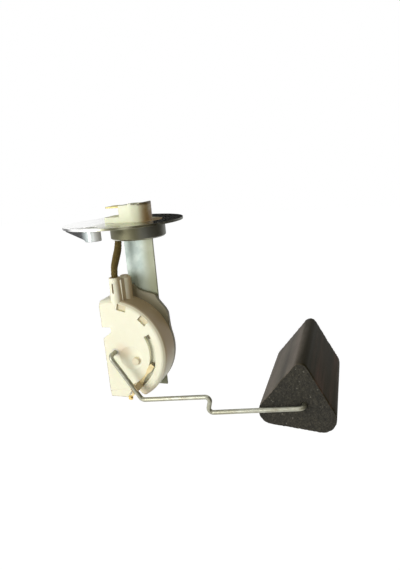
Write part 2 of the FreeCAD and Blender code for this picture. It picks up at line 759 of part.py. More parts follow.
save(mounting_flange(), "mounting_flange")
save(signal_blade, "signal_blade")
save(ground_blade, "ground_blade")
save(connector_body([signal_blade, ground_blade]), "connector_body")
save(connector_seal(), "connector_seal")
save(bracket_strip(), "bracket_strip")
save(bracket_rivets(), "bracket_rivets")
save(base, "housing_base")
save(housing_cover(base), "housing_cover")
save(pivot_bush(), "pivot_bush")
save(resistor_card(), "resistor_card")
save(resistor_track(), "resistor_track")
save(track_pads(), "track_pads")
save(lead_terminal(), "lead_terminal")
save(signal_lead(), "signal_lead")
save(lead_core(), "lead_core")
save(lead_grommet(), "lead_grommet")
save(float_arm(), "float_arm")
save(arm_retainer(), "arm_retainer")
save(float_clip(), "float_clip")
save(wiper_leaf(), "wiper_leaf")
save(wiper_carrier(), "wiper_carrier")
save(wiper_contact(), "wiper_contact")
save(tip_contact(), "tip_contact")
save(float_block(), "float_block")
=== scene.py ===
import bmesh
import bpy
import math
from mathutils import Matrix, Vector, noise


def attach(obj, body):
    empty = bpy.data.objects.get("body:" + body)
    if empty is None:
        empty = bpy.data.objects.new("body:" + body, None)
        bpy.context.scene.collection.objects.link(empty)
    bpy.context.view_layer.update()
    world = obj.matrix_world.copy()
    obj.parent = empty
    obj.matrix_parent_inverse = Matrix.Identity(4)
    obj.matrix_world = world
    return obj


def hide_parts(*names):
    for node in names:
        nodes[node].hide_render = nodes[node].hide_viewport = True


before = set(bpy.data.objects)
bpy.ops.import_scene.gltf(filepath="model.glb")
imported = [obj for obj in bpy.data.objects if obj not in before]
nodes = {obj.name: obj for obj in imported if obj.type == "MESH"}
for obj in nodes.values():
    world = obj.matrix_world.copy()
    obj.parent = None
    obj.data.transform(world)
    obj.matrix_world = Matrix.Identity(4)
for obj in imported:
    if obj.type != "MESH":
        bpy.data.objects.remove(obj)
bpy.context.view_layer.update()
scene = bpy.context.scene


# Mounting flange: one pressing in zinc-plated steel, drawn into a cup for the plug and a
# ramped pocket that locates it in the tank. The plating carries painted reflection, white at
# the left, olive in the middle and nearly black at the right, and has fine rolling marks.
def new_material(name, metallic, roughness):
    """Material with one Principled shader; returns it with its tree and shader."""
    material = bpy.data.materials.new(name)
    material.use_nodes = True
    tree = material.node_tree
    shader = tree.nodes["Principled BSDF"]
    shader.inputs["Metallic"].default_value = metallic
    shader.inputs["Roughness"].default_value = roughness
    return material, tree, shader


def add(tree, kind, **values):
    """Node with its settings and unlinked sockets filled in."""
    node = tree.nodes.new(kind)
    for key, value in values.items():
        if hasattr(node, key):
            setattr(node, key, value)
        else:
            node.inputs[key.replace("_", " ")].default_value = value
    return node


def calc(tree, operation, *values):
    """Result of a Math node; each value is a socket or a number."""
    node = add(tree, "ShaderNodeMath", operation=operation)
    for socket, value in zip(node.inputs, values):
        if isinstance(value, bpy.types.NodeSocket):
            tree.links.new(value, socket)
        else:
            socket.default_value = value
    return node.outputs[0]


def product(tree, first, *others):
    """Product of masks, values or numbers."""
    result = first
    for other in others:
        result = calc(tree, "MULTIPLY", result, other)
    return result


def mapped(tree, value, **limits):
    """Value mapped from one range to another, 0 to 1 unless named."""
    node = add(tree, "ShaderNodeMapRange", **limits)
    tree.links.new(value, node.inputs["Value"])
    return node.outputs["Result"]


def band(tree, value, zero_at, one_at):
    """Smooth step from 0 to 1 between two values."""
    return mapped(tree, value, interpolation_type="SMOOTHSTEP", From_Min=zero_at, From_Max=one_at)


def ramp(tree, source, stops):
    """Colour ramp fed by a value; stops are (position, colour)."""
    node = tree.nodes.new("ShaderNodeValToRGB")
    elements = node.color_ramp.elements
    while len(elements) < len(stops):
        elements.new(0.5)
    for element, (position, colour) in zip(elements, stops):
        element.position = position
        element.color = (*colour, 1.0)
    tree.links.new(source, node.inputs["Fac"])
    return node.outputs["Color"]


def mix_colour(tree, factor, first, second, blend="MIX"):
    """Mix of two colours; each is a socket or a plain colour, the factor a socket or a number."""
    node = tree.nodes.new("ShaderNodeMix")
    node.data_type = "RGBA"
    node.blend_type = blend
    for socket, value in ((node.inputs[0], factor), (node.inputs[6], first), (node.inputs[7], second)):
        if isinstance(value, bpy.types.NodeSocket):
            tree.links.new(value, socket)
        elif isinstance(value, (int, float)):
            socket.default_value = value
        else:
            socket.default_value = (*value, 1.0)
    return node.outputs[2]


def object_point(tree, stretch=(1.0, 1.0, 1.0)):
    """Object coordinates, stretched along the axes."""
    place = tree.nodes.new("ShaderNodeTexCoord")
    mapping = add(tree, "ShaderNodeMapping", Scale=stretch)
    tree.links.new(place.outputs["Object"], mapping.inputs["Vector"])
    return mapping.outputs["Vector"]


def separated(tree, vector):
    """Outputs X, Y and Z of a vector."""
    node = tree.nodes.new("ShaderNodeSeparateXYZ")
    tree.links.new(vector, node.inputs[0])
    return node.outputs


def object_place(tree):
    """X, Y and Z of a place on the piece."""
    return separated(tree, tree.nodes.new("ShaderNodeTexCoord").outputs["Object"])


def surface_facing(tree):
    """X, Y and Z of the surface's normal."""
    return separated(tree, tree.nodes.new("ShaderNodeNewGeometry").outputs["Normal"])


def noise_value(tree, point, scale, detail=4.0, roughness=0.5):
    """Value of a noise at a point."""
    node = add(tree, "ShaderNodeTexNoise", Scale=scale, Detail=detail, Roughness=roughness)
    tree.links.new(point, node.inputs["Vector"])
    return node.outputs["Fac"]


def bump(tree, height, distance, strength=1.0, under=None):
    """Normal bent by a height, on top of another normal if one is given."""
    node = add(tree, "ShaderNodeBump", Strength=strength, Distance=distance)
    tree.links.new(height, node.inputs["Height"])
    if under is not None:
        tree.links.new(under, node.inputs["Normal"])
    return node.outputs["Normal"]


def new_group(name, inputs, outputs):
    """Node group with named float inputs and typed outputs."""
    group = bpy.data.node_groups.new(name, "ShaderNodeTree")
    for label, value in inputs:
        socket = group.interface.new_socket(label, in_out="INPUT", socket_type="NodeSocketFloat")
        socket.default_value = value
    for label, kind in outputs:
        group.interface.new_socket(label, in_out="OUTPUT", socket_type=kind)
    return group, group.nodes.new("NodeGroupInput"), group.nodes.new("NodeGroupOutput")


def use_group(tree, group, **values):
    """Node that uses a group, with its unlinked inputs filled in."""
    return add(tree, "ShaderNodeGroup", node_tree=group, **values)


def edge_group():
    """Mask that is 1 on outer edges, with the rounded normal that softens them."""
    group, start, end = new_group("rounded edges", [("Radius", 0.0004)],
                                  [("Mask", "NodeSocketFloat"), ("Normal", "NodeSocketVector")])
    bevel = add(group, "ShaderNodeBevel", samples=6)
    geometry = group.nodes.new("ShaderNodeNewGeometry")
    dot = add(group, "ShaderNodeVectorMath", operation="DOT_PRODUCT")
    group.links.new(start.outputs["Radius"], bevel.inputs["Radius"])
    group.links.new(bevel.outputs["Normal"], dot.inputs[0])
    group.links.new(geometry.outputs["Normal"], dot.inputs[1])
    turned = mapped(group, dot.outputs["Value"], From_Min=0.995, From_Max=0.86)
    group.links.new(turned, end.inputs["Mask"])
    group.links.new(bevel.outputs["Normal"], end.inputs["Normal"])
    return group


def laid_over(material, mask, tone, share=1.0):
    """Lays a tone over a material's present colour where the mask is 1."""
    tree = material.node_tree
    colour = tree.nodes["Principled BSDF"].inputs["Base Color"]
    under = colour.links[0].from_socket
    tree.links.new(mix_colour(tree, product(tree, mask, share), under, tone), colour)


def dress(node_name, material):
    """Gives a CAD node its material."""
    mesh = nodes[node_name].data
    mesh.materials.clear()
    mesh.materials.append(material)


edges = edge_group()


def plated_steel(name, light, dark, roughness, marks):
    """Dull plating: cloudy tone, fine rolling marks along X and brighter edges."""
    material, tree, shader = new_material(name, 1.0, roughness)
    clouds = noise_value(tree, object_point(tree), 130.0, 5.0, 0.6)
    rolled = noise_value(tree, object_point(tree, (60.0, 900.0, 60.0)), marks, 3.0)
    tone = ramp(tree, clouds, [(0.32, dark), (0.68, light)])
    tone = mix_colour(tree, 0.22, tone, ramp(tree, rolled, [(0.3, dark), (0.7, light)]))
    rim = use_group(tree, edges, Radius=0.0003)
    worn = product(tree, rim.outputs["Mask"], 0.3)
    tone = mix_colour(tree, worn, tone, [min(1.0, value * 1.5) for value in light])
    tree.links.new(tone, shader.inputs["Base Color"])
    rough = mapped(tree, clouds, To_Min=roughness - 0.05, To_Max=roughness + 0.08)
    tree.links.new(rough, shader.inputs["Roughness"])
    tree.links.new(bump(tree, rolled, 0.00002, 0.5, rim.outputs["Normal"]), shader.inputs["Normal"])
    return material


# Each pair says where a mask starts and where it is full.
wall_facing_z = (0.8, 0.3)
right_slant = (1.0, 0.5, 0.0)
# Painted reflection on the flange: white at the left, olive in the middle, nearly black at the right.
painted_reflection_white_x = (-0.0040, -0.0120)
painted_reflection_olive_x = (-0.0030, 0.0060)
painted_reflection_black = (0.0120, 0.0185)
# Painted highlight at the right end of the cup wall.
painted_highlight_cup_x = (0.0125, 0.0185)
behind_pocket_y = (-0.0190, -0.0170)
pocket_y = (-0.0205, -0.0212)
pocket_z = (-0.0001, -0.0004)
pocket_tip_x = -0.0210
pocket_end_x = -0.0005
# Painted shade near the pocket's tip; the pocket tones run from painted shade to painted highlight.
painted_shade_tip_x = (-0.0130, -0.0190)
painted_shade_tip_y = (-0.0100, -0.0160)
pocket_shade_and_highlight_tones = [(0.0, (0.008, 0.008, 0.008)), (0.36, (0.014, 0.015, 0.015)), (0.54, (0.028, 0.031, 0.031)),
                (0.66, (0.30, 0.34, 0.34)), (0.78, (0.80, 0.88, 0.87)), (0.95, (0.96, 0.98, 0.97))]


def flange_plating():
    """Plating with painted reflection across the flange and on the cup wall, rougher on the cup, and
    painted shade and highlight in the pocket.
    """
    material = plated_steel("flange plating", (0.78, 0.78, 0.73), (0.60, 0.60, 0.52), 0.24, 8.0)
    tree = material.node_tree
    shader = tree.nodes["Principled BSDF"]
    where = object_place(tree)
    walls = band(tree, calc(tree, "ABSOLUTE", surface_facing(tree)["Z"]), *wall_facing_z)
    # Painted reflection: white at the left, olive in the middle, nearly black at the right.
    laid_over(material, band(tree, where["X"], *painted_reflection_white_x), (0.97, 0.97, 0.96))
    laid_over(material, band(tree, where["X"], *painted_reflection_olive_x), (0.31, 0.305, 0.20), 0.9)
    slanted = add(tree, "ShaderNodeVectorMath", operation="DOT_PRODUCT")
    slanted.inputs[1].default_value = right_slant
    tree.links.new(object_point(tree), slanted.inputs[0])
    laid_over(material, band(tree, slanted.outputs["Value"], *painted_reflection_black), (0.14, 0.14, 0.125), 0.95)
    # Painted dark reflection on the cup wall, with a painted highlight at its right end.
    cup = product(tree, walls, band(tree, where["Y"], *behind_pocket_y))
    laid_over(material, cup, (0.155, 0.148, 0.092))
    laid_over(material, product(tree, cup, band(tree, where["X"], *painted_highlight_cup_x)), (0.27, 0.275, 0.25), 0.8)
    # Painted shade and highlight along the pocket, with painted shade on its rim.
    pocket = product(tree, band(tree, where["Y"], *pocket_y), band(tree, where["Z"], *pocket_z))
    along = mapped(tree, where["X"], From_Min=pocket_tip_x, From_Max=pocket_end_x)
    laid_over(material, pocket, ramp(tree, along, pocket_shade_and_highlight_tones))
    rim = use_group(tree, edges, Radius=0.0006)
    laid_over(material, product(tree, pocket, rim.outputs["Mask"]), (0.04, 0.04, 0.04), 0.85)
    # Painted shade, near black, on the walls by the pocket's tip.
    tip = product(tree, walls, band(tree, where["X"], *painted_shade_tip_x), band(tree, where["Y"], *painted_shade_tip_y))
    laid_over(material, tip, (0.03, 0.03, 0.03), 0.9)
    tree.links.new(mapped(tree, pocket, To_Min=1.0, To_Max=0.15), shader.inputs["Metallic"])
    rough = shader.inputs["Roughness"].links[0].from_socket
    tree.links.new(calc(tree, "MULTIPLY_ADD", cup, 0.26, rough), shader.inputs["Roughness"])
    return material


dress("mounting_flange", flange_plating())


# Plug connector: cream moulding with a rounded tower, a raised lip and a keying shelf,
# pressed into the flange's cup over a ring seal. Handled plastic, slightly yellowed, with
# painted shade in brown at the right and on the lip.
def grain_group():
    """Tone and height of a moulded plastic skin: slow clouds, fine grain and a few specks."""
    group, start, end = new_group("moulded grain", [("Cloud Scale", 60.0), ("Grain Scale", 2600.0)],
                                  [("Clouds", "NodeSocketFloat"), ("Grain", "NodeSocketFloat"),
                                   ("Specks", "NodeSocketFloat")])
    place = group.nodes.new("ShaderNodeTexCoord")
    clouds = add(group, "ShaderNodeTexNoise", Detail=4.0, Roughness=0.6)
    grain = add(group, "ShaderNodeTexNoise", Detail=2.0)
    specks = add(group, "ShaderNodeTexVoronoi", Scale=420.0)
    for texture in (clouds, grain, specks):
        group.links.new(place.outputs["Object"], texture.inputs["Vector"])
    group.links.new(start.outputs["Cloud Scale"], clouds.inputs["Scale"])
    group.links.new(start.outputs["Grain Scale"], grain.inputs["Scale"])
    group.links.new(clouds.outputs["Fac"], end.inputs["Clouds"])
    group.links.new(grain.outputs["Fac"], end.inputs["Grain"])
    dots = mapped(group, specks.outputs["Distance"], From_Min=0.10, From_Max=0.05)
    group.links.new(dots, end.inputs["Specks"])
    return group


plastic_grain = grain_group()


def moulded_plastic(name, light, shade, edge_tone, edge_share=0.5):
    """Moulded plastic: cloudy tone, faint specks and browned edges."""
    material, tree, shader = new_material(name, 0.0, 0.42)
    skin = use_group(tree, plastic_grain)
    tone = ramp(tree, skin.outputs["Clouds"], [(0.35, shade), (0.65, light)])
    tone = mix_colour(tree, product(tree, skin.outputs["Specks"], 0.22), tone, (0.33, 0.24, 0.12))
    rim = use_group(tree, edges, Radius=0.0004)
    tone = mix_colour(tree, product(tree, rim.outputs["Mask"], edge_share), tone, edge_tone)
    tree.links.new(tone, shader.inputs["Base Color"])
    shader.inputs["Subsurface Weight"].default_value = 0.12
    shader.inputs["Subsurface Radius"].default_value = (0.0022, 0.0014, 0.0007)
    shader.inputs["Subsurface Scale"].default_value = 1.0
    relief = bump(tree, skin.outputs["Grain"], 0.00002, 0.6, rim.outputs["Normal"])
    tree.links.new(relief, shader.inputs["Normal"])
    return material


# Painted shade in brown at the right of the plug and on its lip.
painted_shade_right_x = (0.0128, 0.0165)
painted_shade_patches = (0.15, 0.50)
lip_x = (0.0128, 0.0138)
lip_z = (0.0092, 0.0104)


def plug_plastic():
    """Yellowed plastic with painted shade, brown at the right and darker on the lip."""
    material = moulded_plastic("plug plastic", (0.93, 0.95, 0.72), (0.88, 0.89, 0.65),
                               (0.42, 0.34, 0.20), 0.6)
    tree = material.node_tree
    where = object_place(tree)
    patchy = noise_value(tree, object_point(tree), 160.0, 4.0, 0.6)
    # Painted shade in brown, in patches, at the plug's right.
    plug_painted_shade = product(tree, band(tree, where["X"], *painted_shade_right_x), band(tree, patchy, *painted_shade_patches))
    laid_over(material, plug_painted_shade, (0.42, 0.26, 0.09), 0.9)
    # Painted shade, dark brown, on the lip.
    lip = product(tree, band(tree, where["X"], *lip_x), band(tree, where["Z"], *lip_z))
    laid_over(material, lip, (0.10, 0.075, 0.03), 0.85)
    return material


def seal_rubber():
    """Matt black rubber with a fine moulded grain."""
    material, tree, shader = new_material("seal rubber", 0.0, 0.7)
    skin = use_group(tree, plastic_grain)
    tone = ramp(tree, skin.outputs["Clouds"], [(0.3, (0.021, 0.021, 0.021)), (0.7, (0.03, 0.03, 0.03))])
    tree.links.new(tone, shader.inputs["Base Color"])
    tree.links.new(bump(tree, skin.outputs["Grain"], 0.00003), shader.inputs["Normal"])
    return material


dress("connector_body", plug_plastic())
rubber = seal_rubber()
dress("connector_seal", rubber)
dress("lead_grommet", rubber)


# Terminal blades, wiper leaf and contacts: bright brass sheet and rivets, lightly stained
# where they have been handled. The blades are dark along their cut edges.
def brass(name, light, dark, roughness=0.28, metallic=1.0):
    """Brass with a patchy stain, fine drawing marks and bright edges."""
    material, tree, shader = new_material(name, metallic, roughness)
    stain = noise_value(tree, object_point(tree), 420.0, 5.0, 0.65)
    drawn = noise_value(tree, object_point(tree, (200.0, 200.0, 2600.0)), 4.0, 2.0)
    tone = ramp(tree, stain, [(0.35, dark), (0.62, light)])
    rim = use_group(tree, edges, Radius=0.00015)
    tone = mix_colour(tree, rim.outputs["Mask"], tone, [min(1.0, value * 1.12) for value in light])
    tree.links.new(tone, shader.inputs["Base Color"])
    tree.links.new(bump(tree, drawn, 0.00001, 0.5, rim.outputs["Normal"]), shader.inputs["Normal"])
    return material


bright_brass = brass("bright brass", (0.92, 0.70, 0.26), (0.62, 0.42, 0.14))
dress("tip_contact", bright_brass)
dress("lead_terminal", bright_brass)
blade_brass = brass("blade brass", (0.80, 0.72, 0.30), (0.62, 0.52, 0.18), 0.45, 0.3)
blade_rim = use_group(blade_brass.node_tree, edges, Radius=0.0003)
laid_over(blade_brass, blade_rim.outputs["Mask"], (0.10, 0.07, 0.02), 0.8)
dress("signal_blade", blade_brass)
dress("ground_blade", blade_brass)
dress("wiper_leaf", brass("leaf brass", (0.90, 0.76, 0.42), (0.72, 0.58, 0.29), 0.36, 0.2))


# Strip bracket: flat steel strip with hot-dip zinc, whose crystals show as a pale green-grey
# mottle. Its foot is bent back and riveted under the cup.
# Painted shade, olive, at the right of the strip and low down near the housing.
painted_shade_strip_x = (0.0065, 0.0135)
shaded_strip_z = (-0.0240, -0.0340)


def spangled_zinc():
    """Pale blue-green crystals and clouds, with painted shade in olive at the right and near the housing.
    """
    material, tree, shader = new_material("spangled zinc", 0.12, 0.4)
    point = object_point(tree, (1.0, 1.0, 0.8))
    wander = add(tree, "ShaderNodeTexNoise", Scale=180.0, Detail=3.0)
    tree.links.new(point, wander.inputs["Vector"])
    nudge = add(tree, "ShaderNodeVectorMath", operation="MULTIPLY_ADD")
    nudge.inputs[1].default_value = (0.003, 0.003, 0.003)
    tree.links.new(wander.outputs["Color"], nudge.inputs[0])
    tree.links.new(point, nudge.inputs[2])
    crystal = add(tree, "ShaderNodeTexVoronoi", Scale=260.0)
    tree.links.new(nudge.outputs["Vector"], crystal.inputs["Vector"])
    split = tree.nodes.new("ShaderNodeSeparateColor")
    tree.links.new(crystal.outputs["Color"], split.inputs["Color"])
    clouds = noise_value(tree, point, 170.0, 5.0, 0.65)
    tone = ramp(tree, split.outputs["Red"], [(0.1, (0.60, 0.72, 0.66)), (0.9, (0.74, 0.86, 0.79))])
    patches = ramp(tree, clouds, [(0.36, (0.52, 0.64, 0.59)), (0.64, (0.84, 0.93, 0.87))])
    tone = mix_colour(tree, 0.55, tone, patches)
    where = object_place(tree)
    # Painted shade, olive, at the right of the strip; the mask named stain here is that shade.
    stain = band(tree, where["X"], *painted_shade_strip_x)
    tone = mix_colour(tree, product(tree, stain, 0.85), tone, (0.30, 0.30, 0.17))
    # Painted shade, olive, low on the strip near the housing.
    low = band(tree, where["Z"], *shaded_strip_z)
    tone = mix_colour(tree, product(tree, low, 0.65), tone, (0.22, 0.23, 0.13))
    rim = use_group(tree, edges, Radius=0.0005)
    tone = mix_colour(tree, product(tree, rim.outputs["Mask"], 0.4), tone, (0.20, 0.20, 0.13))
    tree.links.new(tone, shader.inputs["Base Color"])
    rough = mapped(tree, split.outputs["Green"], To_Min=0.34, To_Max=0.52)
    tree.links.new(rough, shader.inputs["Roughness"])
    relief = bump(tree, split.outputs["Blue"], 0.00002, 0.4, rim.outputs["Normal"])
    tree.links.new(relief, shader.inputs["Normal"])
    return material


dress("bracket_strip", spangled_zinc())
dress("bracket_rivets", plated_steel("rivet plating", (0.48, 0.48, 0.45), (0.30, 0.30, 0.27), 0.34, 10.0))


# Sensor housing: two cream mouldings snapped together round the card, the front one with
# the arc slot, the dish and the neck. The pivot sleeve is a whiter plastic. The hooks' and
# the skirt's distances are from the pivot, the dish's from its own middle.
pivot_x = -0.0062
pivot_z = -0.0703
dish_x = -0.0014
dish_z = -0.0698
# Painted shade, dark olive, on the back half towards the strip.
back_painted_shade_y = (-0.0085, -0.0045)
hook_front_y = (-0.0140, -0.0145)
hook_distance = (0.0200, 0.0220)
# Painted shade in brown on the cover's outer wall, foot, dish and left and lower edges.
skirt_facing_y = (0.95, 0.25)
skirt_shade_patches = (0.0, 0.42)
skirt_distance = (0.0270, 0.0285)
skirt_x = (-0.0085, -0.0015)
skirt_z = (-0.0880, -0.0660)
foot_x = (0.0020, 0.0070)
foot_z = (-0.0860, -0.0960)
dish_distance = (0.0070, 0.0010)
left_edge_x = (-0.0112, -0.0122)
low_edge_z = (-0.0966, -0.0976)


def distance_from(tree, x, z):
    """Distance from a line along Y through x and z."""
    away = add(tree, "ShaderNodeVectorMath", operation="SUBTRACT")
    away.inputs[1].default_value = (x, 0.0, z)
    flat = add(tree, "ShaderNodeVectorMath", operation="MULTIPLY")
    flat.inputs[1].default_value = (1.0, 0.0, 1.0)
    length = add(tree, "ShaderNodeVectorMath", operation="LENGTH")
    tree.links.new(tree.nodes.new("ShaderNodeTexCoord").outputs["Object"], away.inputs[0])
    tree.links.new(away.outputs["Vector"], flat.inputs[0])
    tree.links.new(flat.outputs["Vector"], length.inputs[0])
    return length.outputs["Value"]


def base_plastic():
    """Plastic of the back half with painted shade in olive towards the strip, and paler snap hooks."""
    material = moulded_plastic("housing back", (0.88, 0.80, 0.59), (0.80, 0.71, 0.50),
                               (0.46, 0.37, 0.22), 0.3)
    tree = material.node_tree
    where = object_place(tree)
    # Painted shade, dark olive, on the back half.
    laid_over(material, band(tree, where["Y"], *back_painted_shade_y), (0.19, 0.17, 0.10), 0.92)
    outside = band(tree, distance_from(tree, pivot_x, pivot_z), *hook_distance)
    laid_over(material, product(tree, band(tree, where["Y"], *hook_front_y), outside), (0.72, 0.64, 0.42))
    return material


def cover_plastic():
    """Plastic of the front half with painted shade in brown on its outer wall, foot, dish and left and
    lower cut edges.
    """
    material = moulded_plastic("housing front", (0.95, 0.93, 0.73), (0.91, 0.88, 0.67),
                               (0.55, 0.43, 0.26), 0.2)
    tree = material.node_tree
    where = object_place(tree)
    # Painted shade, brown in patches, on the outer wall.
    walls = band(tree, calc(tree, "ABSOLUTE", surface_facing(tree)["Y"]), *skirt_facing_y)
    outside = band(tree, distance_from(tree, pivot_x, pivot_z), *skirt_distance)
    patchy = noise_value(tree, object_point(tree), 85.0, 4.0, 0.6)
    skirt = product(tree, walls, outside, band(tree, where["X"], *skirt_x),
                    band(tree, patchy, *skirt_shade_patches), band(tree, where["Z"], *skirt_z))
    laid_over(material, skirt, (0.56, 0.42, 0.24), 0.92)
    # Painted shade, brown, on the foot.
    foot = product(tree, band(tree, where["Z"], *foot_z), band(tree, where["X"], *foot_x))
    laid_over(material, foot, (0.66, 0.54, 0.35), 0.75)
    # Painted shade, brown, in the dish.
    dish = band(tree, distance_from(tree, dish_x, dish_z), *dish_distance)
    laid_over(material, dish, (0.80, 0.60, 0.40), 0.45)
    # Painted shade, dark brown, along the cover's left and lower edges.
    rim = use_group(tree, edges, Radius=0.0007)
    for axis, limits in (("X", left_edge_x), ("Z", low_edge_z)):
        painted_edge_shade = product(tree, band(tree, where[axis], *limits), rim.outputs["Mask"])
        laid_over(material, painted_edge_shade, (0.24, 0.17, 0.09), 0.85)
    return material


dress("housing_base", base_plastic())
dress("housing_cover", cover_plastic())
bush_plastic = moulded_plastic("bush plastic", (0.86, 0.83, 0.70), (0.80, 0.76, 0.62), (0.60, 0.52, 0.36))
dress("pivot_bush", bush_plastic)


# Resistor card: pale grey-green ceramic with a printed track of nearly the same tone and
# dark silvered pads.
def fired_ceramic(name, light, dark, roughness):
    """Fired surface with a fine speckle."""
    material, tree, shader = new_material(name, 0.0, roughness)
    fine = noise_value(tree, object_point(tree), 900.0, 4.0, 0.6)
    tree.links.new(ramp(tree, fine, [(0.3, dark), (0.7, light)]), shader.inputs["Base Color"])
    tree.links.new(bump(tree, fine, 0.00002, 0.5), shader.inputs["Normal"])
    return material


dress("resistor_card", fired_ceramic("card ceramic", (0.97, 0.97, 0.82), (0.88, 0.88, 0.73), 0.5))
dress("resistor_track", fired_ceramic("track film", (0.98, 0.98, 0.82), (0.89, 0.89, 0.72), 0.45))
dress("track_pads", plated_steel("pad silver", (0.34, 0.31, 0.22), (0.22, 0.19, 0.12), 0.4, 12.0))


# Lead: brown cotton braid over the wires, pushed through the cup's grommet and down into
# the neck. Its strands cross over and under each other round a dark core, and swell where
# the lead hangs free.
lead_route = [(-0.0006, -0.0066, -0.0024), (-0.0010, -0.0072, -0.0116), (-0.0024, -0.0096, -0.0181),
              (-0.0029, -0.0133, -0.0246), (-0.0029, -0.0133, -0.0396)]
lead_radius = 0.00195
strand_radius = 0.00042
strand_depth = 1.6 * strand_radius
core_depth = 2.2 * strand_radius
weave_lift = 0.55 * strand_radius
strands_each_way = 7
braid_turns = 3.2
free_top = -0.0085
free_low = -0.0238
swelling = 0.20
weld_distance = 0.000002


def baked(body):
    """Mesh of a curve object, which is then removed."""
    mesh = bpy.data.meshes.new_from_object(body)
    bpy.data.objects.remove(body)
    return mesh


def lead_line(name, bevel):
    """Mesh along the lead's smooth line, with a round section if a bevel is given."""
    curve = bpy.data.curves.new(name, "CURVE")
    curve.dimensions = "3D"
    curve.bevel_depth = bevel
    curve.bevel_resolution = 5
    curve.use_fill_caps = bevel > 0.0
    curve.resolution_u = 30
    line = curve.splines.new("NURBS")
    line.points.add(len(lead_route) - 1)
    for point, place in zip(line.points, lead_route):
        point.co = (*place, 1.0)
    line.order_u = 3
    line.use_endpoint_u = True
    return baked(bpy.data.objects.new(name, curve))


lead_points = [point.co.copy() for point in lead_line("lead_guide", 0.0).vertices]
middle_radius = lead_radius - strand_depth
side = Vector((1.0, 0.0, 0.0))
stations = []
for index, point in enumerate(lead_points):
    ahead = lead_points[min(index + 1, len(lead_points) - 1)] - lead_points[max(index - 1, 0)]
    ahead.normalize()
    side = (side - ahead * side.dot(ahead)).normalized()
    slack = min(1.0, max(0.0, (free_top - point.z) / (free_top - free_low)))
    swelled = middle_radius * (1.0 + swelling * math.sin(math.pi * slack))
    stations.append((point, side.copy(), ahead.cross(side), swelled))
braid = bpy.data.curves.new("braided_lead", "CURVE")
braid.dimensions = "3D"
braid.bevel_depth = strand_radius
braid.bevel_resolution = 1
for way in (-1, 1):
    for strand in range(strands_each_way):
        line = braid.splines.new("POLY")
        line.points.add(len(stations) - 1)
        for index, (point, across, upward, swelled) in enumerate(stations):
            turned = 2 * math.pi * braid_turns * index / (len(stations) - 1)
            angle = way * turned + 2 * math.pi * strand / strands_each_way
            weave = way * math.cos(turned * strands_each_way)
            radius = swelled + weave_lift * weave
            place = point + (across * math.cos(angle) + upward * math.sin(angle)) * radius
            line.points[index].co = (*place, 1.0)
work = bmesh.new()
work.from_mesh(baked(bpy.data.objects.new("braided_lead_curve", braid)))
work.from_mesh(lead_line("lead_core_curve", lead_radius - core_depth))
bmesh.ops.remove_doubles(work, verts=list(work.verts), dist=weld_distance)
bmesh.ops.recalc_face_normals(work, faces=list(work.faces))
for face in work.faces:
    face.smooth = True
sleeve_mesh = bpy.data.meshes.new("braided_lead")
work.to_mesh(sleeve_mesh)
work.free()
braided_lead = bpy.data.objects.new("braided_lead", sleeve_mesh)
scene.collection.objects.link(braided_lead)


def cotton_braid():
    """Cotton yarn: brown with paler worn crowns, fuzzy and dull."""
    material, tree, shader = new_material("cotton braid", 0.0, 0.8)
    fine = noise_value(tree, object_point(tree, (1.0, 1.0, 0.5)), 1700.0, 4.0, 0.65)
    slow = noise_value(tree, object_point(tree), 160.0, 3.0, 0.6)
    tone = ramp(tree, fine, [(0.32, (0.075, 0.050, 0.010)), (0.55, (0.165, 0.118, 0.030)),
                             (0.74, (0.28, 0.210, 0.07))])
    shades = ramp(tree, slow, [(0.35, (0.6, 0.58, 0.5)), (0.65, (1.15, 1.1, 1.0))])
    tree.links.new(mix_colour(tree, 0.5, tone, shades, "MULTIPLY"), shader.inputs["Base Color"])
    tree.links.new(bump(tree, fine, 0.00012, 0.8), shader.inputs["Normal"])
    shader.inputs["Sheen Weight"].default_value = 0.06
    shader.inputs["Specular IOR Level"].default_value = 0.25
    return material


braid_finish = cotton_braid()
sleeve_mesh.materials.append(braid_finish)
dress("signal_lead", braid_finish)
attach(braided_lead, "head")
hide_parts("signal_lead")
dress("lead_core", brass("tinned copper", (0.80, 0.50, 0.32), (0.60, 0.34, 0.20)))


# Arm: one drawn steel wire, cold bent with a tight radius at the pivot, below the housing,
# twice at the jog and where it enters the float, and held by push-on rings.
wire_radius = 0.00125
wire_sides = 28
wire_end_round = 0.0003
wire_y = -0.0232
arm_route = [Vector((-0.0062, 0.0016, -0.0703)), Vector((-0.0062, wire_y, -0.0703)),
             Vector((0.0104, wire_y, -0.0950)), Vector((0.0502, wire_y, -0.0898)),
             Vector((0.0480, wire_y, -0.0992)), Vector((0.0977, wire_y, -0.0920)),
             Vector((0.0977, 0.0527, -0.0920))]
arm_bends = [0.0022, 0.0030, 0.0022, 0.0022, 0.0024]
bend_segments = 12


def next_loop(work, loop, move):
    """Extrudes a closed loop of edges, moves the new points and gives the new loop."""
    grown = bmesh.ops.extrude_edge_only(work, edges=loop)["geom"]
    fresh = {item for item in grown if isinstance(item, bmesh.types.BMVert)}
    for point in fresh:
        point.co = move(point.co)
    return [item for item in grown
            if isinstance(item, bmesh.types.BMEdge) and all(point in fresh for point in item.verts)]


def shifted(by):
    """Move that shifts a point."""
    return lambda point: point + by


def swung(centre, turn):
    """Move that turns a point about a centre."""
    return lambda point: centre + turn @ (point - centre)


